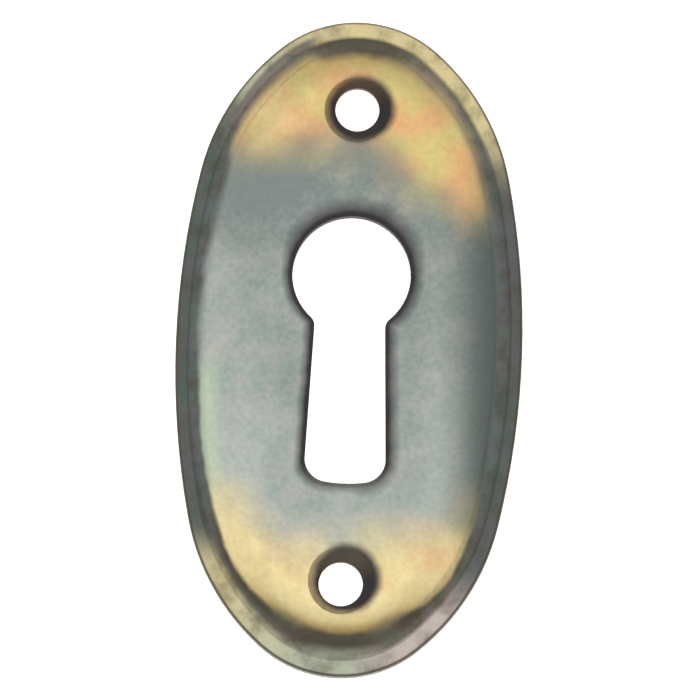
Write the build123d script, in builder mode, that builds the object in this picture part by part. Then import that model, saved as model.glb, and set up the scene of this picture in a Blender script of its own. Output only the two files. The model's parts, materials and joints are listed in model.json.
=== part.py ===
from build123d import *
import os
from math import atan2, cos, degrees, radians, sin, sqrt, tan

# Oval keyhole escutcheon, pressed in one piece from sheet brass. It lies on its back: Z = 0 is the plane
# of the wood behind it, +Z is its front, and +Y runs up the plate, from the slot to the keyhole's head.

# Driving dimensions, in millimetres and degrees
LENGTH = 42.0
WIDTH = 22.0
SIDE_TURN = 12.1            # the outline is an oval of three radii: half of each long side turns this far,
HAUNCH_TURN = 37.8          # a haunch turns this far more,
END_RADIUS = 7.7            # and this radius closes the two ends
SHEET = 1.2                 # thickness of the brass

FLANGE_SIDE = 0.7           # flat rim, from the outline to the foot of the step, at the sides
FLANGE_END = 0.95           # the same, at the two ends
STEP_RUN = 1.1              # how far the step leans in
STEP_RISE = 0.95            # from the flange's top to the edge of the dome
DOME_RISE = 0.8             # from the edge of the dome to its crown

EDGE_RADIUS = 0.3           # rounded front edge of the flange
CREASE_RADIUS = 0.3         # between the flange and the step, on the front
SHOULDER_RADIUS = 0.55      # between the step and the dome, on the front

HEAD_RADIUS = 3.75          # round head of the keyhole
HEAD_Y = 4.45
THROAT_WIDTH = 4.45         # slot, where it leaves the head
FOOT_WIDTH = 5.2            # slot, at its lower end
FOOT_Y = -8.9               # lowest point of the slot
FOOT_SAG = 0.4              # bow of the slot's lower end
FOOT_RADIUS = 1.5           # corners of the slot's lower end
THROAT_RADIUS = 0.75        # corners between head and slot
KEYHOLE_BREAK = 0.3         # broken front edge of the keyhole

SCREW_SPACING = 30.4
SCREW_HOLE_RADIUS = 1.4
SCREW_SINK_RADIUS = 2.12
SCREW_SINK_ANGLE = 90.0

# The edge of the dome is an oval inside the outline, and its crown is the highest point of the plate
dome_half_width = WIDTH / 2 - FLANGE_SIDE - STEP_RUN
dome_half_length = LENGTH / 2 - FLANGE_END - STEP_RUN
crown = SHEET + STEP_RISE + DOME_RISE
step_lean = degrees(atan2(STEP_RUN, STEP_RISE))

# The slot's flanks meet the round head at the throat
throat_y = HEAD_Y - sqrt(HEAD_RADIUS**2 - (THROAT_WIDTH / 2) ** 2)

# The countersinks have their radius where their axis meets the dome, and are wider at the crown's level
screw_y = SCREW_SPACING / 2
screw_drop = DOME_RISE * (screw_y / dome_half_length) ** 2
sink_top_radius = SCREW_SINK_RADIUS + screw_drop * tan(radians(SCREW_SINK_ANGLE) / 2)


def oval(side_inset, end_inset):
    """The plate's oval, drawn in by those amounts at its sides and at its ends."""
    end_radius = END_RADIUS - end_inset
    side_angle = radians(SIDE_TURN)
    haunch_angle = radians(SIDE_TURN + HAUNCH_TURN)
    # What the end arc leaves of the half width and the half length is shared by the side and the haunch.
    # Each of their radii counts by how far its arc carries in (x) and along (y).
    rest_x = WIDTH / 2 - side_inset - end_radius * cos(haunch_angle)
    rest_y = LENGTH / 2 - end_inset - end_radius * (1 - sin(haunch_angle))
    side_x = 1 - cos(side_angle)
    side_y = sin(side_angle)
    haunch_x = cos(side_angle) - cos(haunch_angle)
    haunch_y = sin(haunch_angle) - sin(side_angle)
    share = side_y * haunch_x - side_x * haunch_y
    side_radius = (rest_y * haunch_x - rest_x * haunch_y) / share
    haunch_radius = (rest_x * side_y - rest_y * side_x) / share
    side_centre = Vector(WIDTH / 2 - side_inset - side_radius, 0)
    haunch_centre = side_centre + Vector(side_radius - haunch_radius, 0).rotate(Axis.Z, SIDE_TURN)
    end_centre = Vector(0, LENGTH / 2 - end_inset - end_radius)
    with BuildSketch() as outline:
        with BuildLine():
            CenterArc(side_centre, side_radius, 0, SIDE_TURN)
            CenterArc(haunch_centre, haunch_radius, SIDE_TURN, HAUNCH_TURN)
            CenterArc(end_centre, end_radius, SIDE_TURN + HAUNCH_TURN, 90 - SIDE_TURN - HAUNCH_TURN)
            mirror(about=Plane.YZ)
            mirror(about=Plane.XZ)
        make_face()
    return outline.sketch


def dome_block(depth):
    """A block whose top is the dome, at that depth behind the front."""
    reach_x = WIDTH / 2
    reach_y = LENGTH / 2
    sag_x = DOME_RISE * (reach_x / dome_half_width) ** 2
    sag_y = DOME_RISE * (reach_y / dome_half_length) ** 2
    # A Bezier patch of three poles each way is a parabola each way: its middle poles stand as far above
    # the crown as its edges lie below it
    poles = [
        [
            (i * reach_x, j * reach_y, crown - depth + (1 - 2 * i**2) * sag_x + (1 - 2 * j**2) * sag_y)
            for j in (-1, 0, 1)
        ]
        for i in (-1, 0, 1)
    ]
    with BuildPart() as block:
        extrude(to_extrude=Face.make_bezier_surface(poles), amount=2 * crown, dir=(0, 0, -1))
    return block.part


def raised_form(depth):
    """The step and the dome that the dies press up, at that depth behind the front."""
    # A sheet bent up keeps its thickness, so behind the front the step starts nearer the middle
    setback = depth * tan(atan2(STEP_RISE, STEP_RUN) / 2)
    with BuildPart() as form:
        with BuildSketch(Plane.XY.offset(SHEET - depth)):
            add(oval(FLANGE_SIDE + setback, FLANGE_END + setback))
        extrude(amount=STEP_RISE + DOME_RISE + SHEET, taper=step_lean)
        add(dome_block(depth), mode=Mode.INTERSECT)
    return form.part


def keyhole():
    """Round head and flared slot, as one outline."""
    with BuildSketch() as outline:
        with BuildLine():
            head = ThreePointArc(
                (THROAT_WIDTH / 2, throat_y),
                (0, HEAD_Y + HEAD_RADIUS),
                (-THROAT_WIDTH / 2, throat_y),
            )
            foot = ThreePointArc(
                (-FOOT_WIDTH / 2, FOOT_Y + FOOT_SAG),
                (0, FOOT_Y),
                (FOOT_WIDTH / 2, FOOT_Y + FOOT_SAG),
            )
            Line(head @ 1, foot @ 0)
            Line(foot @ 1, head @ 0)
        make_face()
        fillet(outline.vertices().group_by(Axis.Y)[-1], THROAT_RADIUS)
        fillet(outline.vertices().group_by(Axis.Y)[0], FOOT_RADIUS)
    return outline.sketch


front_form = raised_form(0)
hollow = raised_form(SHEET)

with BuildPart() as escutcheon_plate:
    with BuildSketch():
        add(oval(0, 0))
    extrude(amount=SHEET)
    add(front_form)
    dome = escutcheon_plate.faces().sort_by(Axis.Z)[-1]
    fillet(dome.outer_wire().edges(), SHOULDER_RADIUS)
    add(hollow, mode=Mode.SUBTRACT)

    # The flange's front edge is rounded, and the bend into the step is round on both sides of the sheet
    flange_top = escutcheon_plate.faces().filter_by(Plane.XY).sort_by(Axis.Z)[-1]
    fillet(flange_top.inner_wires()[0].edges(), CREASE_RADIUS)
    flange_top = escutcheon_plate.faces().filter_by(Plane.XY).sort_by(Axis.Z)[-1]
    fillet(flange_top.outer_wire().edges(), EDGE_RADIUS)
    flange_back = escutcheon_plate.faces().filter_by(Plane.XY).sort_by(Axis.Z)[0]
    fillet(flange_back.inner_wires()[0].edges(), CREASE_RADIUS + SHEET)

    # Keyhole, pierced from the front, with its front edge broken
    with BuildSketch():
        add(keyhole())
    extrude(amount=crown, mode=Mode.SUBTRACT)
    dome = escutcheon_plate.faces().sort_by(Axis.Z)[-1]
    chamfer(dome.inner_wires()[0].edges(), KEYHOLE_BREAK)

    # Countersunk screw holes. The tool comes in from the level of the crown, so that its cone meets the
    # sloping dome all round.
    with Locations((0, screw_y, crown), (0, -screw_y, crown)):
        CounterSinkHole(SCREW_HOLE_RADIUS, sink_top_radius, counter_sink_angle=SCREW_SINK_ANGLE)

os.makedirs("parts", exist_ok=True)
escutcheon_plate.part.label = "escutcheon_plate"
export_step(escutcheon_plate.part, "parts/escutcheon_plate.step")
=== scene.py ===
import json
from math import radians
from types import SimpleNamespace

import bpy
from bpy.props import FloatProperty, FloatVectorProperty, PointerProperty
from mathutils import Matrix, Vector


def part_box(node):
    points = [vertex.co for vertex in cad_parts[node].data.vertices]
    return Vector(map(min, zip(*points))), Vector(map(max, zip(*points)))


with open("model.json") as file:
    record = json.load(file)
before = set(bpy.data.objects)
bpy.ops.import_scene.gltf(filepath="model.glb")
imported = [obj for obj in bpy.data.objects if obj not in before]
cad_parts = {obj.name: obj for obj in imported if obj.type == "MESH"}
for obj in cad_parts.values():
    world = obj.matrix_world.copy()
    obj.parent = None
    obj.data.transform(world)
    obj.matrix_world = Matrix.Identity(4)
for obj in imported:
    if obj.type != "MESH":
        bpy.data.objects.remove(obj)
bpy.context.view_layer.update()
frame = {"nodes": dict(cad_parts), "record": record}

bl_info = {
    "name": "Keyhole Escutcheon",
    "version": (1, 0, 0),
    "blender": (4, 5, 0),
    "location": "View3D > Sidebar > Escutcheon",
    "description": "Gives an oval keyhole plate its antiqued brass finish and lays out its stage",
    "category": "Object",
}

PLATE = "escutcheon_plate"
MM = 0.001

# The plate in millimetres: its outline, its rim, and its shoulder, where the step meets the dome
HALF_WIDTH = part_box(PLATE)[1].x / MM
HALF_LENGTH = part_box(PLATE)[1].y / MM
RIM_Z = 1.2
SHOULDER_Z = 2.15
SHOULDER_HALF_WIDTH = 9.2
SHOULDER_HALF_LENGTH = 18.95
OVAL_POWER = 2.24           # 2 would be an ellipse, and the plate's ovals are a little fuller

# The holes in millimetres, as the plate is pierced
HEAD_RADIUS = 3.75
HEAD_Y = 4.45
SLOT_HALF_WIDTH = 2.28      # at Y = 0
SLOT_FLARE = 0.038          # by which the half width grows for each millimetre down
SLOT_FOOT_Y = -8.9
SLOT_CORNER = 1.5
SCREW_Y = frame["record"]["mounts"][0]["dims"]["spacing_y_mm"] / 2
SINK_RADIUS = 2.12

# The dark ring of each countersink sits to the right of its hole, and the lower ring higher than its hole
# too:
# painted shade on the side of each countersink that is turned from the light
UPPER_RING_SHIFT = (0.25, -0.06, 0)
LOWER_RING_SHIFT = (0.36, 0.28, 0)

# Directions from the middle of the plate, as if its oval were a circle
TOP = (0, 1, 0)
BOTTOM = (0, -1, 0)
LEFT = (-1, 0, 0)
LEFT_BELOW_MIDDLE = (-0.93, -0.36, 0)
UPPER_LEFT = (-0.56, 0.83, 0)
UPPER_RIGHT = (0.6, 0.8, 0)
LOWER_LEFT = (-0.72, -0.69, 0)
LOWER_RIGHT = (0.72, -0.69, 0)
PALE_FOOT = (-0.65, -0.76, 0)

# Both ends of the face are gold, and the edge of the gold comes further in towards the sides: how its left
# and its right half lean, and how far from the middle of the plate it lies, in millimetres
GOLD_ENDS = (
    ((-0.06, 1, 0), (0.56, 1, 0), 12.7),
    ((-0.45, -1, 0), (0.24, -1, 0), 13.1),
)
GOLD_RAGGED = 1.3           # by which clouds of the patina move that edge either way
GOLD_FADE = 2.4             # over which the gold fades either way

# A patch of the face that the buff hardly touched, in millimetres
DULL_PLACE = (-6.5, 10, 0)
DULL_RADIUS = 6.0
DULL_CORE = 1.5

# Where the dark of the step ends, in millimetres inside the shoulder: along the sides, and how much further
# in at the upper and at the lower end, where painted shade carries it onto the dome
DARK_AT_SIDES = -0.1
DARK_AT_TOP = 0.4
DARK_AT_BOTTOM = 0.75
FRINGE = 0.8                # how far the brown fringe of the dark reaches

UNEVEN = 0.06               # by which blotches move the edges of all dark parts, in millimetres
LINE_DEPTH = 0.002          # of the buffing lines, in millimetres
BLOTCH_DEPTH = 0.012        # of the pressing's unevenness, in millimetres

# For each millimetre to the right and up, how much deeper the grey and how much paler the gold are painted:
# painted shade towards the upper right, painted light towards the lower left
SHADE_LEAN = (0.018, 0.042, 0)
LIGHT_LEAN = (-0.035, -0.025, 0)

RIM_STAIN = 0.4             # how strongly the stains tint the rim
STEP_STAIN = 0.3            # and the step
GRAIN_TONE = 0.07           # by which specks lighten and darken the finish
GRAIN_ROUGHNESS = 0.04      # and roughen and smooth it
HOLE_METAL = 0.6            # share of metal that still shows through the thick patina of the holes

# The picture is square, and the plate's width takes up this share of it
WIDTH_SHARE = 347.0 / 696

# The stage in metres: the point that the camera looks at, the softbox, and half of the table's side
CAMERA_AIM = (-0.063 * MM, -0.063 * MM, RIM_Z * MM)
SOFTBOX_PLACE = (-0.08, 0.12, 1.1)
TABLE_HALF = 2.0


def linear(colour):
    """An sRGB hex colour as linear red, green, blue and alpha."""
    parts = [int(colour[i:i + 2], 16) / 255 for i in (1, 3, 5)]
    return (*[p / 12.92 if p <= 0.04045 else ((p + 0.055) / 1.055) ** 2.4 for p in parts], 1.0)


def node(tree, kind, inputs=None, output=None, **settings):
    """Adds a node with its settings, fills its inputs with values or sockets, and returns one output."""
    made = tree.nodes.new(kind)
    for name, value in settings.items():
        setattr(made, name, value)
    for key, value in (inputs or {}).items():
        named = [s for s in made.inputs if s.enabled and s.name == key]
        socket = named[0] if named else made.inputs[key]
        if isinstance(value, bpy.types.NodeSocket):
            tree.links.new(value, socket)
        else:
            socket.default_value = value
    return next((s for s in made.outputs if s.enabled and output in (None, s.name)), None)


def oval_gap(tree, flat, half_width, half_length):
    """Distance inwards from an oval's edge, along the line to the middle, in millimetres."""
    reach = node(tree, "ShaderNodeVectorMath", {0: flat}, operation="LENGTH")
    share = node(tree, "ShaderNodeVectorMath", {0: flat, 1: (half_width, half_length, 1)}, operation="DIVIDE")
    share = node(tree, "ShaderNodeVectorMath", {0: share}, operation="ABSOLUTE")
    across, along = [node(tree, "ShaderNodeSeparateXYZ", {0: share}, output=axis) for axis in "XY"]
    across = node(tree, "ShaderNodeMath", {0: across, 1: OVAL_POWER}, operation="POWER")
    along = node(tree, "ShaderNodeMath", {0: along, 1: OVAL_POWER}, operation="POWER")
    share = node(tree, "ShaderNodeMath", {0: across, 1: along}, operation="ADD")
    share = node(tree, "ShaderNodeMath", {0: share, 1: 1 / OVAL_POWER}, operation="POWER")
    edge = node(tree, "ShaderNodeMath", {0: reach, 1: share}, operation="DIVIDE")
    return node(tree, "ShaderNodeMath", {0: edge, 1: reach}, operation="SUBTRACT")


def keyhole_gap(tree, at):
    """Distance outwards from the keyhole's edge, in millimetres."""
    head = node(tree, "ShaderNodeVectorMath", {0: at.flat, 1: (0, HEAD_Y, 0)}, operation="DISTANCE")
    head = node(tree, "ShaderNodeMath", {0: head, 1: HEAD_RADIUS}, operation="SUBTRACT")
    # The slot is a box with round corners, whose flanks spread towards its foot
    side = node(tree, "ShaderNodeMath", {0: at.x}, operation="ABSOLUTE")
    side = node(tree, "ShaderNodeMath", {0: at.y, 1: SLOT_FLARE, 2: side}, operation="MULTIPLY_ADD")
    side = node(tree, "ShaderNodeMath", {0: side, 1: SLOT_HALF_WIDTH - SLOT_CORNER}, operation="SUBTRACT")
    middle = (HEAD_Y + SLOT_FOOT_Y) / 2
    end = node(tree, "ShaderNodeMath", {0: at.y, 1: middle}, operation="SUBTRACT")
    end = node(tree, "ShaderNodeMath", {0: end}, operation="ABSOLUTE")
    end = node(tree, "ShaderNodeMath", {0: end, 1: HEAD_Y - middle - SLOT_CORNER}, operation="SUBTRACT")
    corner = node(tree, "ShaderNodeCombineXYZ", {"X": side, "Y": end})
    corner = node(tree, "ShaderNodeVectorMath", {0: corner, 1: (0, 0, 0)}, operation="MAXIMUM")
    corner = node(tree, "ShaderNodeVectorMath", {0: corner}, operation="LENGTH")
    slot = node(tree, "ShaderNodeMath", {0: corner, 1: SLOT_CORNER}, operation="SUBTRACT")
    return node(tree, "ShaderNodeMath", {0: head, 1: slot}, operation="MINIMUM")


def ring_gap(tree, at):
    """Distance outwards from the dark ring of the nearer countersink, in millimetres."""
    nearer = node(tree, "ShaderNodeMath", {0: at.y}, operation="SIGN")
    nearer = node(tree, "ShaderNodeMath", {0: nearer, 1: -SCREW_Y, 2: at.y}, operation="MULTIPLY_ADD")
    offset = node(tree, "ShaderNodeCombineXYZ", {"X": at.x, "Y": nearer})
    lower = node(tree, "ShaderNodeMapRange", {"Value": at.y, "From Min": 1, "From Max": -1})
    shift = {"Factor": lower, "A": UPPER_RING_SHIFT, "B": LOWER_RING_SHIFT}
    shift = node(tree, "ShaderNodeMix", shift, data_type="VECTOR")
    offset = node(tree, "ShaderNodeVectorMath", {0: offset, 1: shift}, operation="DISTANCE")
    return node(tree, "ShaderNodeMath", {0: offset, 1: SINK_RADIUS}, operation="SUBTRACT")


def facing(tree, at, direction, start, full, most=1.0):
    """Share of what lies in a direction, between the cosines off it where that starts and is full."""
    toward = node(tree, "ShaderNodeVectorMath", {0: at.aim, 1: direction}, operation="DOT_PRODUCT")
    share = {"Value": toward, "From Min": start, "From Max": full, "To Max": most}
    return node(tree, "ShaderNodeMapRange", share, interpolation_type="SMOOTHSTEP")


def survey(tree):
    """Where a point of the plate lies: its place and distances in millimetres, and which way it looks."""
    at = SimpleNamespace()
    place = node(tree, "ShaderNodeTexCoord", output="Object")
    at.place = node(tree, "ShaderNodeVectorMath", {0: place, "Scale": 1 / MM}, operation="SCALE")
    at.flat = node(tree, "ShaderNodeVectorMath", {0: at.place, 1: (1, 1, 0)}, operation="MULTIPLY")
    at.x, at.y, at.z = [node(tree, "ShaderNodeSeparateXYZ", {0: at.place}, output=axis) for axis in "XYZ"]
    normal = node(tree, "ShaderNodeNewGeometry", output="Normal")
    at.looks_up = node(tree, "ShaderNodeSeparateXYZ", {0: normal}, output="Y")
    at.looks_out = node(tree, "ShaderNodeSeparateXYZ", {0: normal}, output="Z")
    at.keyhole = keyhole_gap(tree, at)
    at.ring = ring_gap(tree, at)
    at.shoulder = oval_gap(tree, at.flat, SHOULDER_HALF_WIDTH, SHOULDER_HALF_LENGTH)
    at.outline = oval_gap(tree, at.flat, HALF_WIDTH, HALF_LENGTH)
    return at


def go_round(tree, at):
    """Adds where a point lies round the oval: how far up, from -1 to 1, and shares of its ends and sides."""
    aim = {0: at.flat, 1: (HALF_WIDTH, HALF_LENGTH, 1)}
    aim = node(tree, "ShaderNodeVectorMath", aim, operation="DIVIDE")
    at.aim = node(tree, "ShaderNodeVectorMath", {0: aim}, operation="NORMALIZE")
    at.along = node(tree, "ShaderNodeSeparateXYZ", {0: at.aim}, output="Y")
    at.lower = node(tree, "ShaderNodeMapRange", {"Value": at.along, "From Min": 0.2, "From Max": -0.2})
    at.top = facing(tree, at, TOP, 0.92, 1.0)
    at.bottom = facing(tree, at, BOTTOM, 0.95, 1.0)
    at.left = facing(tree, at, LEFT, 0.8, 1.0)
    at.upper_left = facing(tree, at, UPPER_LEFT, 0.93, 0.97)
    at.upper_right = facing(tree, at, UPPER_RIGHT, 0.85, 0.97)
    at.lower_left = facing(tree, at, LOWER_LEFT, 0.9, 1.0)
    at.lower_right = facing(tree, at, LOWER_RIGHT, 0.9, 1.0)

    either_end = node(tree, "ShaderNodeMath", {0: at.along}, operation="ABSOLUTE")
    haunches = {"Value": either_end, "From Min": 0.45, "From Max": 0.9}
    at.haunches = node(tree, "ShaderNodeMapRange", haunches, interpolation_type="SMOOTHSTEP")
    tips = {"Value": either_end, "From Min": 0.7, "From Max": 1.0}
    at.tips = node(tree, "ShaderNodeMapRange", tips, interpolation_type="SMOOTHSTEP")
    beside = {"Value": either_end, "From Min": 0.86, "From Max": 0.98, "To Max": at.lower}
    beside = node(tree, "ShaderNodeMapRange", beside, interpolation_type="SMOOTHSTEP")
    at.beside_bottom = node(tree, "ShaderNodeMath", {0: beside, 1: at.bottom}, operation="SUBTRACT")


def bath_patterns(tree, look, place):
    """Clouds, blotches, specks and stains that the bath left."""
    wear = SimpleNamespace()
    clouds = {"Vector": place, "Scale": MM / look.cloud_size, "Detail": 2.0}
    wear.clouds = node(tree, "ShaderNodeTexNoise", clouds)
    blotches = {"Vector": place, "Scale": MM / look.blotch_size, "Detail": 2.0}
    wear.blotches = node(tree, "ShaderNodeTexNoise", blotches)
    specks = {"Vector": place, "Scale": MM / look.speck_size, "Detail": 2.0}
    wear.specks = node(tree, "ShaderNodeTexNoise", specks)

    # The same blotches as a share and in millimetres, and the specks from -1 to 1
    drift = {"Value": wear.blotches, "From Min": 0.25, "From Max": 0.75}
    wear.drift = node(tree, "ShaderNodeMapRange", drift)
    uneven = {"Value": wear.blotches, "From Min": 0.3, "From Max": 0.7, "To Min": -UNEVEN, "To Max": UNEVEN}
    wear.uneven = node(tree, "ShaderNodeMapRange", uneven)
    grain = {"Value": wear.specks, "From Min": 0.3, "From Max": 0.7, "To Min": -1.0}
    wear.grain = node(tree, "ShaderNodeMapRange", grain)

    stains = node(tree, "ShaderNodeTexNoise", {"Vector": place, "Scale": MM / look.stain_size, "Detail": 1.0})
    stains = node(tree, "ShaderNodeMapRange", {"Value": stains, "From Min": 0.4, "From Max": 0.6})
    stains = {"Factor": stains, "A": look.stain_violet, "B": look.stain_green}
    wear.stains = node(tree, "ShaderNodeMix", stains, data_type="RGBA")
    return wear


def worn_ends(tree, at, wear):
    """Share of gold: both ends of the face, furthest in on the upper right."""
    ends = []
    for left_lean, right_lean, start in GOLD_ENDS:
        left = node(tree, "ShaderNodeVectorMath", {0: at.flat, 1: left_lean}, operation="DOT_PRODUCT")
        right = node(tree, "ShaderNodeVectorMath", {0: at.flat, 1: right_lean}, operation="DOT_PRODUCT")
        end = node(tree, "ShaderNodeMath", {0: left, 1: right}, operation="MAXIMUM")
        ends.append(node(tree, "ShaderNodeMath", {0: end, 1: start}, operation="SUBTRACT"))
    gold = node(tree, "ShaderNodeMath", {0: ends[0], 1: ends[1]}, operation="MAXIMUM")
    # Clouds of the patina break its edge up
    ragged = {
        "Value": wear.clouds, "From Min": 0.3, "From Max": 0.7, "To Min": -GOLD_RAGGED, "To Max": GOLD_RAGGED,
    }
    ragged = node(tree, "ShaderNodeMapRange", ragged)
    gold = node(tree, "ShaderNodeMath", {0: gold, 1: ragged}, operation="ADD")
    gold = {"Value": gold, "From Min": -GOLD_FADE, "From Max": GOLD_FADE}
    return node(tree, "ShaderNodeMapRange", gold, interpolation_type="SMOOTHSTEP")


def patina_and_shade_depth(tree, at, wear, dull):
    """How deep the grey of the bath is: more round the slot, and, as painted shade, more on the upper right
    and less on the lower left.
    """
    by_slot = {"Value": at.y, "From Min": 1.0, "From Max": -3.0, "To Max": 0.3}
    by_slot = node(tree, "ShaderNodeMapRange", by_slot)
    by_slot = {"Value": at.keyhole, "From Min": 4.0, "From Max": 1.5, "To Max": by_slot}
    by_slot = node(tree, "ShaderNodeMapRange", by_slot, interpolation_type="SMOOTHSTEP")
    depth = node(tree, "ShaderNodeVectorMath", {0: at.flat, 1: SHADE_LEAN}, operation="DOT_PRODUCT")
    depth = node(tree, "ShaderNodeMath", {0: depth, 1: by_slot}, operation="ADD")
    for pattern, weight in ((wear.clouds, -0.9), (dull, 0.28), (wear.grain, -0.06), (wear.drift, -0.08)):
        depth = node(tree, "ShaderNodeMath", {0: pattern, 1: weight, 2: depth}, operation="MULTIPLY_ADD")
    return depth


def grey_patina_and_shading(tree, look, at, wear, dull):
    """Grey of the bath: cooler and warmer in blotches, deeper and thinner in clouds, with a painted sheen
    along the left and painted shade towards the right.
    """
    depth = patina_and_shade_depth(tree, at, wear, dull)
    deep = {"Value": depth, "From Min": -0.54, "From Max": 0.01, "To Max": 0.75}
    deep = node(tree, "ShaderNodeMapRange", deep)
    thin = node(tree, "ShaderNodeMapRange", {"Value": depth, "From Min": -0.52, "From Max": -1.09})
    # Along the shoulder on the left, below the middle, a pale green sheen is painted
    left_sheen = facing(tree, at, LEFT_BELOW_MIDDLE, 0.93, 0.99, most=0.55)
    left_sheen = {"Value": at.shoulder, "From Min": 1.6, "From Max": 0.2, "To Max": left_sheen}
    left_sheen = node(tree, "ShaderNodeMapRange", left_sheen, interpolation_type="SMOOTHSTEP")
    # Towards the right it gets as dark as the rim, as painted shade
    right = {"Value": at.x, "From Min": 5.2, "From Max": 9.0}
    right = node(tree, "ShaderNodeMapRange", right, interpolation_type="SMOOTHSTEP")
    grey = {"Factor": wear.drift, "A": look.patina_cool, "B": look.patina_warm}
    grey = node(tree, "ShaderNodeMix", grey, data_type="RGBA")
    for share, tone in (
        (deep, look.patina_deep),
        (thin, look.patina_thin),
        (left_sheen, look.sheen_green),
        (right, look.rim_grey),
    ):
        grey = node(tree, "ShaderNodeMix", {"Factor": share, "A": grey, "B": tone}, data_type="RGBA")
    return grey


def brown_share(tree, at, worn, dull):
    """Share of the gold that stays brown: where it was buffed less, and as painted shade towards the step and
    far to the right.
    """
    # Towards the step as painted shade, most of all at the two ends, and where the gold meets the grey
    most = node(tree, "ShaderNodeMath", {0: at.tips, 1: 0.5, 2: 0.2}, operation="MULTIPLY_ADD")
    brown = {"Value": at.shoulder, "From Min": 2.6, "From Max": 0.5, "To Max": most}
    brown = node(tree, "ShaderNodeMapRange", brown, interpolation_type="SMOOTHSTEP")
    by_grey = {"Value": worn, "From Min": 1.0, "From Max": 0.3, "To Max": 0.45}
    by_grey = node(tree, "ShaderNodeMapRange", by_grey)
    brown = node(tree, "ShaderNodeMath", {0: brown, 1: by_grey}, operation="MAXIMUM")
    # On the dull patch, and far to the right as painted shade
    brown = node(tree, "ShaderNodeMath", {0: dull, 1: 0.3, 2: brown}, operation="MULTIPLY_ADD")
    right = {"Value": at.x, "From Min": 6.6, "From Max": 8.8, "To Max": 0.7}
    right = node(tree, "ShaderNodeMapRange", right, interpolation_type="SMOOTHSTEP")
    return node(tree, "ShaderNodeMath", {0: brown, 1: right}, operation="ADD")


def buffed_gold_and_shading(tree, look, at, wear, worn, dull):
    """Brass that the buff brought back, in redder and greener patches, paler at the lower left as painted
    light.
    """
    patches = {"Vector": at.flat, "Scale": MM / look.patch_size, "Detail": 1.0}
    patches = node(tree, "ShaderNodeTexNoise", patches)
    patches = node(tree, "ShaderNodeMapRange", {"Value": patches, "From Min": 0.4, "From Max": 0.6})
    gold = {"Factor": patches, "A": look.gold_red, "B": look.gold_green}
    gold = node(tree, "ShaderNodeMix", gold, data_type="RGBA")
    pale = node(tree, "ShaderNodeVectorMath", {0: at.flat, 1: LIGHT_LEAN}, operation="DOT_PRODUCT")
    pale = node(tree, "ShaderNodeMath", {0: pale, 1: wear.clouds}, operation="ADD")
    pale = node(tree, "ShaderNodeMath", {0: wear.drift, 1: 0.5, 2: pale}, operation="MULTIPLY_ADD")
    pale = node(tree, "ShaderNodeMapRange", {"Value": pale, "From Min": 0.4, "From Max": 1.35})
    gold = node(tree, "ShaderNodeMix", {"Factor": pale, "A": gold, "B": look.gold_pale}, data_type="RGBA")
    brown = brown_share(tree, at, worn, dull)
    return node(tree, "ShaderNodeMix", {"Factor": brown, "A": gold, "B": look.gold_brown}, data_type="RGBA")


def face_colour(tree, look, at, wear, worn):
    """Grey patina over the middle of the dome, and gold at its ends."""
    dull = node(tree, "ShaderNodeVectorMath", {0: at.flat, 1: DULL_PLACE}, operation="DISTANCE")
    dull = {"Value": dull, "From Min": DULL_RADIUS, "From Max": DULL_CORE}
    dull = node(tree, "ShaderNodeMapRange", dull, interpolation_type="SMOOTHSTEP")
    grey = grey_patina_and_shading(tree, look, at, wear, dull)
    gold = buffed_gold_and_shading(tree, look, at, wear, worn, dull)
    return node(tree, "ShaderNodeMix", {"Factor": worn, "A": grey, "B": gold}, data_type="RGBA")


def rim_lower_end(tree, look, at):
    """The rim's lower end goes from gold on the left to pink on the right."""
    gold = {"Value": at.x, "From Min": -0.2 * HALF_WIDTH, "From Max": -0.7 * HALF_WIDTH, "To Max": 0.9}
    gold = node(tree, "ShaderNodeMapRange", gold)
    end = {"Factor": gold, "A": look.rim_pale, "B": look.rim_gold}
    end = node(tree, "ShaderNodeMix", end, data_type="RGBA")
    pink = {"Value": at.x, "From Min": 0.05 * HALF_WIDTH, "From Max": 0.3 * HALF_WIDTH}
    pink = node(tree, "ShaderNodeMapRange", pink)
    return node(tree, "ShaderNodeMix", {"Factor": pink, "A": end, "B": look.rim_pink}, data_type="RGBA")


def rim_upper_end(tree, look, at):
    """The rim's upper end is dull gold, and paler on the left."""
    pale = {"Value": at.x, "From Min": -0.25 * HALF_WIDTH, "From Max": -0.6 * HALF_WIDTH, "To Max": 0.8}
    pale = node(tree, "ShaderNodeMapRange", pale)
    end = {"Factor": pale, "A": look.rim_gold, "B": look.rim_pale}
    return node(tree, "ShaderNodeMix", end, data_type="RGBA")


def rim_colour(tree, look, at, wear):
    """Dark grey along the sides of the rim, pale at both ends, partly as painted highlight. Both start
    further down on the right.
    """
    rim = {"Factor": RIM_STAIN, "A": look.rim_grey, "B": wear.stains}
    rim = node(tree, "ShaderNodeMix", rim, data_type="RGBA", blend_type="COLOR")
    for end, lean, start, full in (
        (rim_lower_end(tree, look, at), 0.07, -0.6, -0.78),
        (rim_upper_end(tree, look, at), 0.1, 0.55, 0.8),
    ):
        up = {0: at.flat, 1: (lean / HALF_WIDTH, 1 / HALF_LENGTH, 0)}
        up = node(tree, "ShaderNodeVectorMath", up, operation="DOT_PRODUCT")
        share = {"Value": up, "From Min": start, "From Max": full}
        share = node(tree, "ShaderNodeMapRange", share, interpolation_type="SMOOTHSTEP")
        rim = node(tree, "ShaderNodeMix", {"Factor": share, "A": rim, "B": end}, data_type="RGBA")
    return rim


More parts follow.
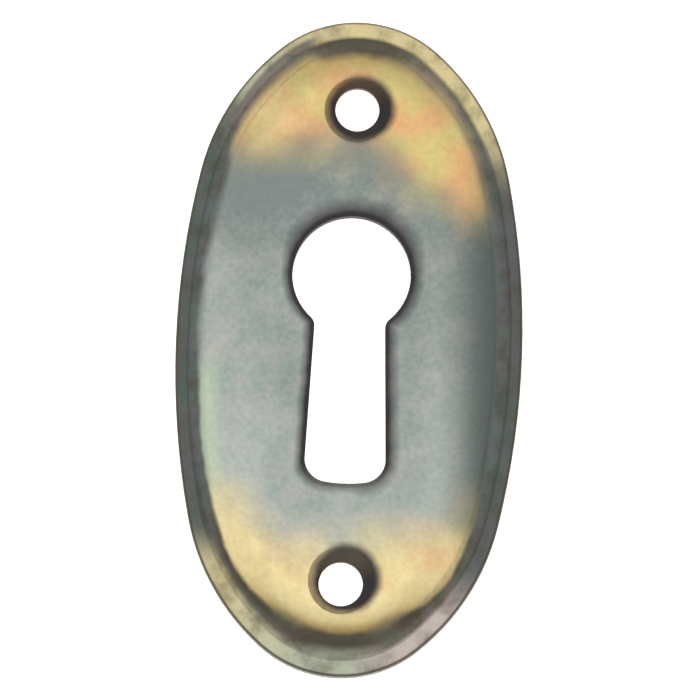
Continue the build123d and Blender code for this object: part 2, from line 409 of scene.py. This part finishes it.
def rim_share(tree, at):
    """Share of the rim. On the upper left the dark of the step spreads over its inner half."""
    rim = {"Value": at.z, "From Min": RIM_Z + 0.22, "From Max": RIM_Z + 0.03}
    rim = node(tree, "ShaderNodeMapRange", rim, interpolation_type="SMOOTHSTEP")
    spread = {"Value": at.outline, "From Min": 0.45, "From Max": 0.8, "To Max": at.upper_left}
    spread = node(tree, "ShaderNodeMapRange", spread, interpolation_type="SMOOTHSTEP")
    bare = node(tree, "ShaderNodeMath", {0: 1.0, 1: spread}, operation="SUBTRACT")
    return node(tree, "ShaderNodeMath", {0: rim, 1: bare}, operation="MULTIPLY")


def outer_edge_shade(tree, at):
    """Share of the rim's rounded outer edge, painted dark as shade."""
    below = {"Value": at.z, "From Min": RIM_Z - 0.01, "From Max": RIM_Z - 0.1}
    below = node(tree, "ShaderNodeMapRange", below)
    rounded = {"Value": at.looks_out, "From Min": 0.97, "From Max": 0.81}
    rounded = node(tree, "ShaderNodeMapRange", rounded)
    return node(tree, "ShaderNodeMath", {0: below, 1: rounded}, operation="MULTIPLY")


def dark_border(tree, at, wear):
    """How far inside the shoulder the dark of the step ends, in millimetres."""
    # It comes up onto the dome at both ends, as painted shade
    border = {0: at.lower, 1: DARK_AT_BOTTOM - DARK_AT_TOP, 2: DARK_AT_TOP}
    border = node(tree, "ShaderNodeMath", border, operation="MULTIPLY_ADD")
    border = {0: border, 1: at.tips, 2: DARK_AT_SIDES}
    border = node(tree, "ShaderNodeMath", border, operation="MULTIPLY_ADD")
    # It is drawn back by this much, in millimetres, most of all on the upper left
    for share, cut in (
        (at.bottom, 0.1),
        (at.upper_left, 0.6),
        (at.upper_right, 0.1),
        (at.lower_right, 0.45),
        (at.lower_left, 0.2),
        (at.left, 0.2),
    ):
        border = node(tree, "ShaderNodeMath", {0: share, 1: -cut, 2: border}, operation="MULTIPLY_ADD")
    return node(tree, "ShaderNodeMath", {0: border, 1: wear.uneven}, operation="ADD")


def dark_share(tree, at, border):
    """Share of the step's dark, from its border outwards: patina in the step's hollow, deepened with painted
    shade. The border is soft at the top and sharp below.
    """
    fade = {"Value": at.along, "From Min": -0.3, "From Max": 0.5, "To Min": 0.18, "To Max": 0.45}
    fade = node(tree, "ShaderNodeMapRange", fade)
    for share in (at.beside_bottom, at.upper_right):
        fade = node(tree, "ShaderNodeMath", {0: share, 1: 0.35, 2: fade}, operation="MULTIPLY_ADD")
    inner = node(tree, "ShaderNodeMath", {0: border, 1: fade}, operation="ADD")
    outer = node(tree, "ShaderNodeMath", {0: border, 1: fade}, operation="SUBTRACT")
    dark = {"Value": at.shoulder, "From Min": inner, "From Max": outer}
    return node(tree, "ShaderNodeMapRange", dark, interpolation_type="SMOOTHSTEP")


def fringe_share(tree, at, border):
    """Share of the brown fringe that lines the dark at both ends, painted as the edge of the shade."""
    most = node(tree, "ShaderNodeMath", {0: at.lower, 1: 0.45, 2: 0.3}, operation="MULTIPLY_ADD")
    most = node(tree, "ShaderNodeMath", {0: most, 1: at.tips}, operation="MULTIPLY")
    reach = node(tree, "ShaderNodeMath", {0: border, 1: FRINGE}, operation="ADD")
    fringe = {"Value": at.shoulder, "From Min": reach, "From Max": border, "To Max": most}
    return node(tree, "ShaderNodeMapRange", fringe, interpolation_type="SMOOTHSTEP")


def step_end_shade_share(tree, at):
    """Share of the step that is darkest, as painted shade: at the upper end, and high up round the lower one.
    """
    end_shade = facing(tree, at, BOTTOM, 0.5, 0.72, most=0.88)
    end_shade = node(tree, "ShaderNodeMath", {0: at.beside_bottom, 1: -0.3, 2: end_shade}, operation="MULTIPLY_ADD")
    high = {"Value": at.z, "From Min": RIM_Z + 0.2, "From Max": SHOULDER_Z - 0.2, "To Min": 0.25}
    high = node(tree, "ShaderNodeMapRange", high, interpolation_type="SMOOTHSTEP")
    end_shade = node(tree, "ShaderNodeMath", {0: end_shade, 1: high}, operation="MULTIPLY")
    return node(tree, "ShaderNodeMath", {0: at.top, 1: 0.7, 2: end_shade}, operation="MULTIPLY_ADD")


def step_colour(tree, look, at, wear, rim):
    """Grey along the sides of the step, brown on the haunches, darkest at the ends, where painted shade
    deepens it.
    """
    step = {"Factor": at.haunches, "A": look.step_grey, "B": look.step_brown}
    step = node(tree, "ShaderNodeMix", step, data_type="RGBA")
    step = {"Factor": step_end_shade_share(tree, at), "A": step, "B": look.step_dark}
    step = node(tree, "ShaderNodeMix", step, data_type="RGBA")
    step = {"Factor": STEP_STAIN, "A": step, "B": wear.stains}
    step = node(tree, "ShaderNodeMix", step, data_type="RGBA", blend_type="COLOR")
    # On the lower left, and most of all at the bottom, its foot takes on the colour of the rim, as painted
    # light
    foot = facing(tree, at, PALE_FOOT, 0.82, 0.98)
    foot = node(tree, "ShaderNodeMath", {0: foot, 1: at.bottom}, operation="MAXIMUM")
    climb = {0: at.bottom, 1: 0.45, 2: SHOULDER_Z - 0.5}
    climb = node(tree, "ShaderNodeMath", climb, operation="MULTIPLY_ADD")
    foot = {"Value": at.z, "From Min": climb, "From Max": RIM_Z + 0.1, "To Max": foot}
    foot = node(tree, "ShaderNodeMapRange", foot, interpolation_type="SMOOTHSTEP")
    return node(tree, "ShaderNodeMix", {"Factor": foot, "A": step, "B": rim}, data_type="RGBA")


def mottle_share(tree, wear, share):
    """Share of the dark mottling on the rim and the step."""
    mottle = {0: wear.specks, 1: 0.5, 2: wear.blotches}
    mottle = node(tree, "ShaderNodeMath", mottle, operation="MULTIPLY_ADD")
    mottle = {"Value": mottle, "From Min": 0.65, "From Max": 0.95, "To Max": 0.5}
    mottle = node(tree, "ShaderNodeMapRange", mottle)
    outside = node(tree, "ShaderNodeMath", {0: share.rim, 1: share.dark}, operation="MAXIMUM")
    return node(tree, "ShaderNodeMath", {0: mottle, 1: outside}, operation="MULTIPLY")


def keyhole_share(tree, at, wear):
    """Share of the dark round the keyhole: patina at its edge, broader above the head and on the right as
    painted shade, weaker at the foot as painted light.
    """
    # Painted shade: the dark is broader above the head and on the right
    broad = {
        "Value": at.y, "From Min": HEAD_Y, "From Max": HEAD_Y + HEAD_RADIUS, "To Min": 0.75, "To Max": 1.3,
    }
    broad = node(tree, "ShaderNodeMapRange", broad)
    right = node(tree, "ShaderNodeMapRange", {"Value": at.x, "From Min": 0.0, "From Max": 2.0, "To Max": 0.2})
    broad = node(tree, "ShaderNodeMath", {0: broad, 1: right}, operation="ADD")
    gap = node(tree, "ShaderNodeMath", {0: at.keyhole, 1: wear.uneven}, operation="ADD")
    dark = node(tree, "ShaderNodeMapRange", {"Value": gap, "From Min": broad, "From Max": 0.15})
    # Painted light: the dark is weaker at the foot
    foot = {
        "Value": at.y, "From Min": SLOT_FOOT_Y + 1.2, "From Max": SLOT_FOOT_Y, "To Min": 1.0, "To Max": 0.7,
    }
    foot = node(tree, "ShaderNodeMapRange", foot)
    return node(tree, "ShaderNodeMath", {0: dark, 1: foot}, operation="MULTIPLY")


def sink_share(tree, at, wear):
    """Share of the dark in the countersinks: patina in their hollows, with painted light on the upper wall of
    each.
    """
    gap = node(tree, "ShaderNodeMath", {0: at.ring, 1: wear.uneven}, operation="ADD")
    dark = {"Value": gap, "From Min": 0.35, "From Max": -0.35}
    dark = node(tree, "ShaderNodeMapRange", dark, interpolation_type="SMOOTHSTEP")
    # Painted light: walls that face down, the upper wall of each countersink, get less of the dark
    wall = {"Value": at.looks_up, "From Min": -0.1, "From Max": -0.65, "To Min": 1.0, "To Max": 0.87}
    wall = node(tree, "ShaderNodeMapRange", wall)
    return node(tree, "ShaderNodeMath", {0: dark, 1: wall}, operation="MULTIPLY")


def back_colour(tree, look, wear):
    """The back is as it was pressed, with clouds of tarnish."""
    tarnish = {0: wear.blotches, 1: 0.7, 2: wear.clouds}
    tarnish = node(tree, "ShaderNodeMath", tarnish, operation="MULTIPLY_ADD")
    tarnish = node(tree, "ShaderNodeMapRange", {"Value": tarnish, "From Min": 0.65, "From Max": 1.1})
    back = {"Factor": tarnish, "A": look.plain_brass, "B": look.tarnish}
    return node(tree, "ShaderNodeMix", back, data_type="RGBA")


def surface_relief(tree, look, at, wear):
    """Buffing lines along the plate, over the shallow unevenness of the pressing."""
    # Real buffing lines are finer than a pixel, so they are drawn wider
    fine = MM / look.line_width
    lines = {"Vector": at.place, "Scale": (fine, MM / look.line_length, fine)}
    lines = node(tree, "ShaderNodeMapping", lines)
    lines = node(tree, "ShaderNodeTexNoise", {"Vector": lines, "Scale": 1.0, "Detail": 2.0})
    relief = node(tree, "ShaderNodeBump", {"Height": lines, "Distance": LINE_DEPTH * MM, "Strength": 1.0})
    relief = {"Height": wear.blotches, "Distance": BLOTCH_DEPTH * MM, "Strength": 1.0, "Normal": relief}
    return node(tree, "ShaderNodeBump", relief)


def find_shares(tree, at, wear):
    """Shares of the gold, of the step's dark and its fringe, of the rim, the holes and the back."""
    share = SimpleNamespace()
    share.gold = worn_ends(tree, at, wear)
    border = dark_border(tree, at, wear)
    share.dark = dark_share(tree, at, border)
    share.fringe = fringe_share(tree, at, border)
    share.rim = rim_share(tree, at)
    holes = {0: keyhole_share(tree, at, wear), 1: sink_share(tree, at, wear)}
    share.holes = node(tree, "ShaderNodeMath", holes, operation="MAXIMUM")
    back = {"Value": at.looks_out, "From Min": -0.1, "From Max": -0.4}
    share.back = node(tree, "ShaderNodeMapRange", back, interpolation_type="SMOOTHSTEP")
    return share


def finish_colour(tree, look, at, wear, share):
    """Colour of the whole finish. Each coat lies over the ones before it."""
    rim = rim_colour(tree, look, at, wear)
    colour = face_colour(tree, look, at, wear, share.gold)
    for part, coat in (
        (share.fringe, look.gold_in_shade),
        (share.dark, step_colour(tree, look, at, wear, rim)),
        (share.rim, rim),
        (outer_edge_shade(tree, at), look.step_dark),
        (mottle_share(tree, wear, share), look.step_dark),
        (share.holes, look.hole_dark),
        (share.back, back_colour(tree, look, wear)),
    ):
        colour = node(tree, "ShaderNodeMix", {"Factor": part, "A": colour, "B": coat}, data_type="RGBA")
    # All of it is grainy
    speckle = {"Value": wear.grain, "From Min": -1.0, "To Min": 1 - GRAIN_TONE, "To Max": 1 + GRAIN_TONE}
    speckle = node(tree, "ShaderNodeMapRange", speckle)
    return node(tree, "ShaderNodeHueSaturation", {"Value": speckle, "Color": colour})


def finish_roughness(tree, look, wear, share):
    """The gold is smoothest, the dark of the step and the holes roughest."""
    dark = node(tree, "ShaderNodeMath", {0: share.dark, 1: share.rim}, operation="SUBTRACT")
    dark = node(tree, "ShaderNodeMath", {0: dark, 1: share.holes}, operation="MAXIMUM")
    rough = {"Value": share.gold, "To Min": look.patina_roughness, "To Max": look.gold_roughness}
    rough = node(tree, "ShaderNodeMapRange", rough)
    rough = node(tree, "ShaderNodeMix", {"Factor": dark, "A": rough, "B": look.dark_roughness})
    rough = {0: wear.grain, 1: GRAIN_ROUGHNESS, 2: rough}
    return node(tree, "ShaderNodeMath", rough, operation="MULTIPLY_ADD")


def antiqued_brass(look):
    """Pressed brass, darkened in a bath and buffed by hand."""
    # The bath leaves a satin grey. The buff brings gold back where the wheel leaned on the two ends, and
    # what it could not reach, in the step and the holes, stays nearly black.
    # Painted shade deepens the dark of the step and the holes and carries it onto the dome at both ends;
    # painted light pales the lower left, with a painted sheen along the left shoulder.
    brass = bpy.data.materials.new("Antiqued brass, darkened and buffed")
    brass.use_nodes = True
    tree = brass.node_tree
    tree.nodes.clear()
    at = survey(tree)
    go_round(tree, at)
    wear = bath_patterns(tree, look, at.place)
    share = find_shares(tree, at, wear)
    metal = node(tree, "ShaderNodeMapRange", {"Value": share.holes, "To Min": 1.0, "To Max": HOLE_METAL})
    surface = {
        "Base Color": finish_colour(tree, look, at, wear, share),
        "Metallic": metal,
        "Roughness": finish_roughness(tree, look, wear, share),
        "Normal": surface_relief(tree, look, at, wear),
    }
    surface = node(tree, "ShaderNodeBsdfPrincipled", surface)
    node(tree, "ShaderNodeOutputMaterial", {"Surface": surface})
    return brass


def opal_acrylic(look):
    """Opal acrylic over lamps, matt: an even white that gives off a little light of its own."""
    acrylic = bpy.data.materials.new("Opal acrylic, matt")
    acrylic.use_nodes = True
    tree = acrylic.node_tree
    tree.nodes.clear()
    surface = {
        "Base Color": linear("#F2F2F0"), "Roughness": 0.7,
        "Emission Color": linear("#FFFFFF"), "Emission Strength": look.glow,
    }
    surface = node(tree, "ShaderNodeBsdfPrincipled", surface)
    node(tree, "ShaderNodeOutputMaterial", {"Surface": surface})
    return acrylic


def add_table(scene, look):
    """The plain pale floor."""
    left, right = -TABLE_HALF, TABLE_HALF
    corners = [(left, left, 0), (right, left, 0), (right, right, 0), (left, right, 0)]
    top = bpy.data.meshes.new("light_table")
    top.from_pydata(corners, [], [(0, 1, 2, 3)])
    top.materials.append(opal_acrylic(look))
    table = bpy.data.objects.new("light_table", top)
    scene.collection.objects.link(table)


def add_lights(scene, look):
    """An even white all round, and a softbox overhead."""
    world = bpy.data.worlds.new("Studio")
    world.use_nodes = True
    world.node_tree.nodes["Background"].inputs["Color"].default_value = linear("#FFFFFF")
    world.node_tree.nodes["Background"].inputs["Strength"].default_value = look.surround
    scene.world = world

    softbox = bpy.data.lights.new("softbox", "AREA")
    softbox.shape = "RECTANGLE"
    softbox.size = look.softbox_side
    softbox.size_y = look.softbox_side
    softbox.energy = look.overhead
    overhead = bpy.data.objects.new("softbox", softbox)
    overhead.location = SOFTBOX_PLACE
    overhead.rotation_euler = (-overhead.location).to_track_quat("-Z", "Y").to_euler()
    scene.collection.objects.link(overhead)


def add_camera(scene, look):
    """A camera over the plate, with the plate's width at its share of the picture."""
    lens = bpy.data.cameras.new("camera")
    lens.lens = lens.sensor_width * look.distance * WIDTH_SHARE / (2 * HALF_WIDTH * MM)
    camera = bpy.data.objects.new("camera", lens)
    camera.matrix_world = (
        Matrix.Translation(CAMERA_AIM)
        @ Matrix.Rotation(look.tilt, 4, "X")
        @ Matrix.Rotation(look.roll, 4, "Z")
        @ Matrix.Translation((0, 0, look.distance))
    )
    scene.collection.objects.link(camera)
    scene.camera = camera


def colour_property(name, description, colour):
    """A colour that a user may change."""
    return FloatVectorProperty(
        name=name, description=description, subtype="COLOR", size=4, min=0, max=1, default=linear(colour)
    )


def size_property(name, description, millimetres):
    """A length that a user may change."""
    return FloatProperty(
        name=name, description=description, unit="LENGTH", precision=5, min=0.01 * MM,
        default=millimetres * MM,
    )


def share_property(name, description, share):
    """A share from 0 to 1 that a user may change."""
    return FloatProperty(name=name, description=description, subtype="FACTOR", min=0, max=1, default=share)


class EscutcheonFinish(bpy.types.PropertyGroup):
    """Colours, pattern sizes and roughness of the antiqued brass."""

    patina_cool: colour_property("Cool patina", "Grey that the bath left, where it is greenest", "#8E9C94")
    patina_warm: colour_property("Warm patina", "The same grey, where brass shows through", "#A1A09B")
    patina_deep: colour_property("Deep patina", "The same grey, where the bath took most", "#6C7673")
    patina_thin: colour_property("Thin patina", "The same grey, where the bath took least", "#A9B0A9")
    # A painted sheen along the left shoulder
    sheen_green: colour_property("Green patina", "The same grey, thin along the left", "#B4C4A6")
    gold_red: colour_property("Red gold", "Brass that the buff brought back, where it is reddest", "#D0A273")
    gold_green: colour_property("Green gold", "The same, where it is greenest", "#C5B576")
    gold_pale: colour_property("Pale gold", "The same, where it was buffed most", "#DCCB9A")
    gold_brown: colour_property("Brown gold", "The same, where it was buffed least", "#988B5C")
    gold_in_shade: colour_property("Burnt gold", "The same, along the dark of the step", "#7A6232")
    rim_grey: colour_property("Rim grey", "Patina along the sides of the rim", "#545B58")
    rim_pale: colour_property("Pale rim", "Thin patina on the rim's lower end", "#A2A894")
    rim_pink: colour_property("Pink rim", "The same, on its right", "#B0A49E")
    rim_gold: colour_property("Rim gold", "Dull gold on the rim's upper end", "#C4B689")
    stain_violet: colour_property("Violet stain", "Hue of the dark patina, where it is reddest", "#857C82")
    stain_green: colour_property("Green stain", "Hue of the dark patina, where it is greenest", "#768C7F")
    step_grey: colour_property("Step grey", "Patina of the step, along the sides", "#666C69")
    step_brown: colour_property("Step brown", "Patina of the step, on the haunches", "#82796A")
    # Also the painted shade at the step's ends and on the rim's outer edge
    step_dark: colour_property("Step dark", "Patina of the step, at the two ends", "#4A4335")
    # Also carries the painted shade round the holes
    hole_dark: colour_property("Holes", "Dark patina of the keyhole's edge and the countersinks", "#353133")
    plain_brass: colour_property("Plain brass", "Back of the plate, as pressed", "#B4935A")
    tarnish: colour_property("Tarnish", "Back of the plate, where it has gone dull", "#95764A")

    cloud_size: size_property("Clouds", "Width of the clouds in the patina", 6)
    patch_size: size_property("Patches", "Width of the patches in the gold", 3)
    stain_size: size_property("Stains", "Width of the stains on the rim and the step", 2)
    blotch_size: size_property("Blotches", "Width of the blotches in all of the finish", 1.5)
    speck_size: size_property("Specks", "Width of the specks in all of the finish", 0.35)
    line_width: size_property("Line width", "Width of the buffing lines", 0.12)
    line_length: size_property("Line length", "Length of the buffing lines", 3)

    gold_roughness: share_property("Gold roughness", "Where the buff brought the brass back", 0.36)
    patina_roughness: share_property("Patina roughness", "Where the bath's grey is left", 0.44)
    dark_roughness: share_property("Dark roughness", "In the step and the holes", 0.6)


class EscutcheonStage(bpy.types.PropertyGroup):
    """Camera, lights and table."""

    distance: FloatProperty(
        name="Distance", description="From the camera to the plate", unit="LENGTH", default=0.5, min=0.1
    )
    tilt: FloatProperty(
        name="Tilt", description="How far the camera leans off straight down", subtype="ANGLE",
        default=radians(8.5),
    )
    roll: FloatProperty(
        name="Roll", description="How far the plate leans to the right", subtype="ANGLE",
        default=radians(2.02),
    )
    softbox_side: FloatProperty(
        name="Softbox", description="Side of the softbox", unit="LENGTH", default=3.0, min=0.1
    )
    overhead: FloatProperty(name="Overhead", description="Power of the softbox", unit="POWER", default=16.2)
    surround: FloatProperty(name="Surround", description="Strength of the light all round", default=0.75)
    glow: FloatProperty(name="Glow", description="Light that the table gives off", default=0.8)


class ESCUTCHEON_OT_finish_plate(bpy.types.Operator):
    """Give the pressed plate its antiqued brass"""

    bl_idname = "escutcheon.finish_plate"
    bl_label = "Finish Plate"

    def execute(self, context):
        finish = antiqued_brass(context.scene.escutcheon_finish)
        for slot in frame["nodes"][PLATE].material_slots:
            slot.material = finish
        return {"FINISHED"}


class ESCUTCHEON_OT_lay_out_stage(bpy.types.Operator):
    """Lay the plate on a light table, under a softbox and the camera"""

    bl_idname = "escutcheon.lay_out_stage"
    bl_label = "Lay Out Stage"

    def execute(self, context):
        scene = context.scene
        look = scene.escutcheon_stage
        scene.view_settings.view_transform = "Standard"
        add_table(scene, look)
        add_lights(scene, look)
        add_camera(scene, look)
        return {"FINISHED"}


class ESCUTCHEON_PT_sidebar(bpy.types.Panel):
    """Settings and steps of the keyhole plate"""

    bl_idname = "ESCUTCHEON_PT_sidebar"
    bl_label = "Keyhole Escutcheon"
    bl_space_type = "VIEW_3D"
    bl_region_type = "UI"
    bl_category = "Escutcheon"

    def draw(self, context):
        for group, operator in (
            (context.scene.escutcheon_finish, ESCUTCHEON_OT_finish_plate),
            (context.scene.escutcheon_stage, ESCUTCHEON_OT_lay_out_stage),
        ):
            for name in group.__annotations__:
                self.layout.prop(group, name)
            self.layout.operator(operator.bl_idname)


CLASSES = (
    EscutcheonFinish,
    EscutcheonStage,
    ESCUTCHEON_OT_finish_plate,
    ESCUTCHEON_OT_lay_out_stage,
    ESCUTCHEON_PT_sidebar,
)


def register():
    for cls in CLASSES:
        bpy.utils.register_class(cls)
    bpy.types.Scene.escutcheon_finish = PointerProperty(type=EscutcheonFinish)
    bpy.types.Scene.escutcheon_stage = PointerProperty(type=EscutcheonStage)


def unregister():
    del bpy.types.Scene.escutcheon_stage
    del bpy.types.Scene.escutcheon_finish
    for cls in reversed(CLASSES):
        bpy.utils.unregister_class(cls)


def main():
    register()
    bpy.ops.escutcheon.finish_plate()
    bpy.ops.escutcheon.lay_out_stage()


if __name__ == "__main__":
    main()
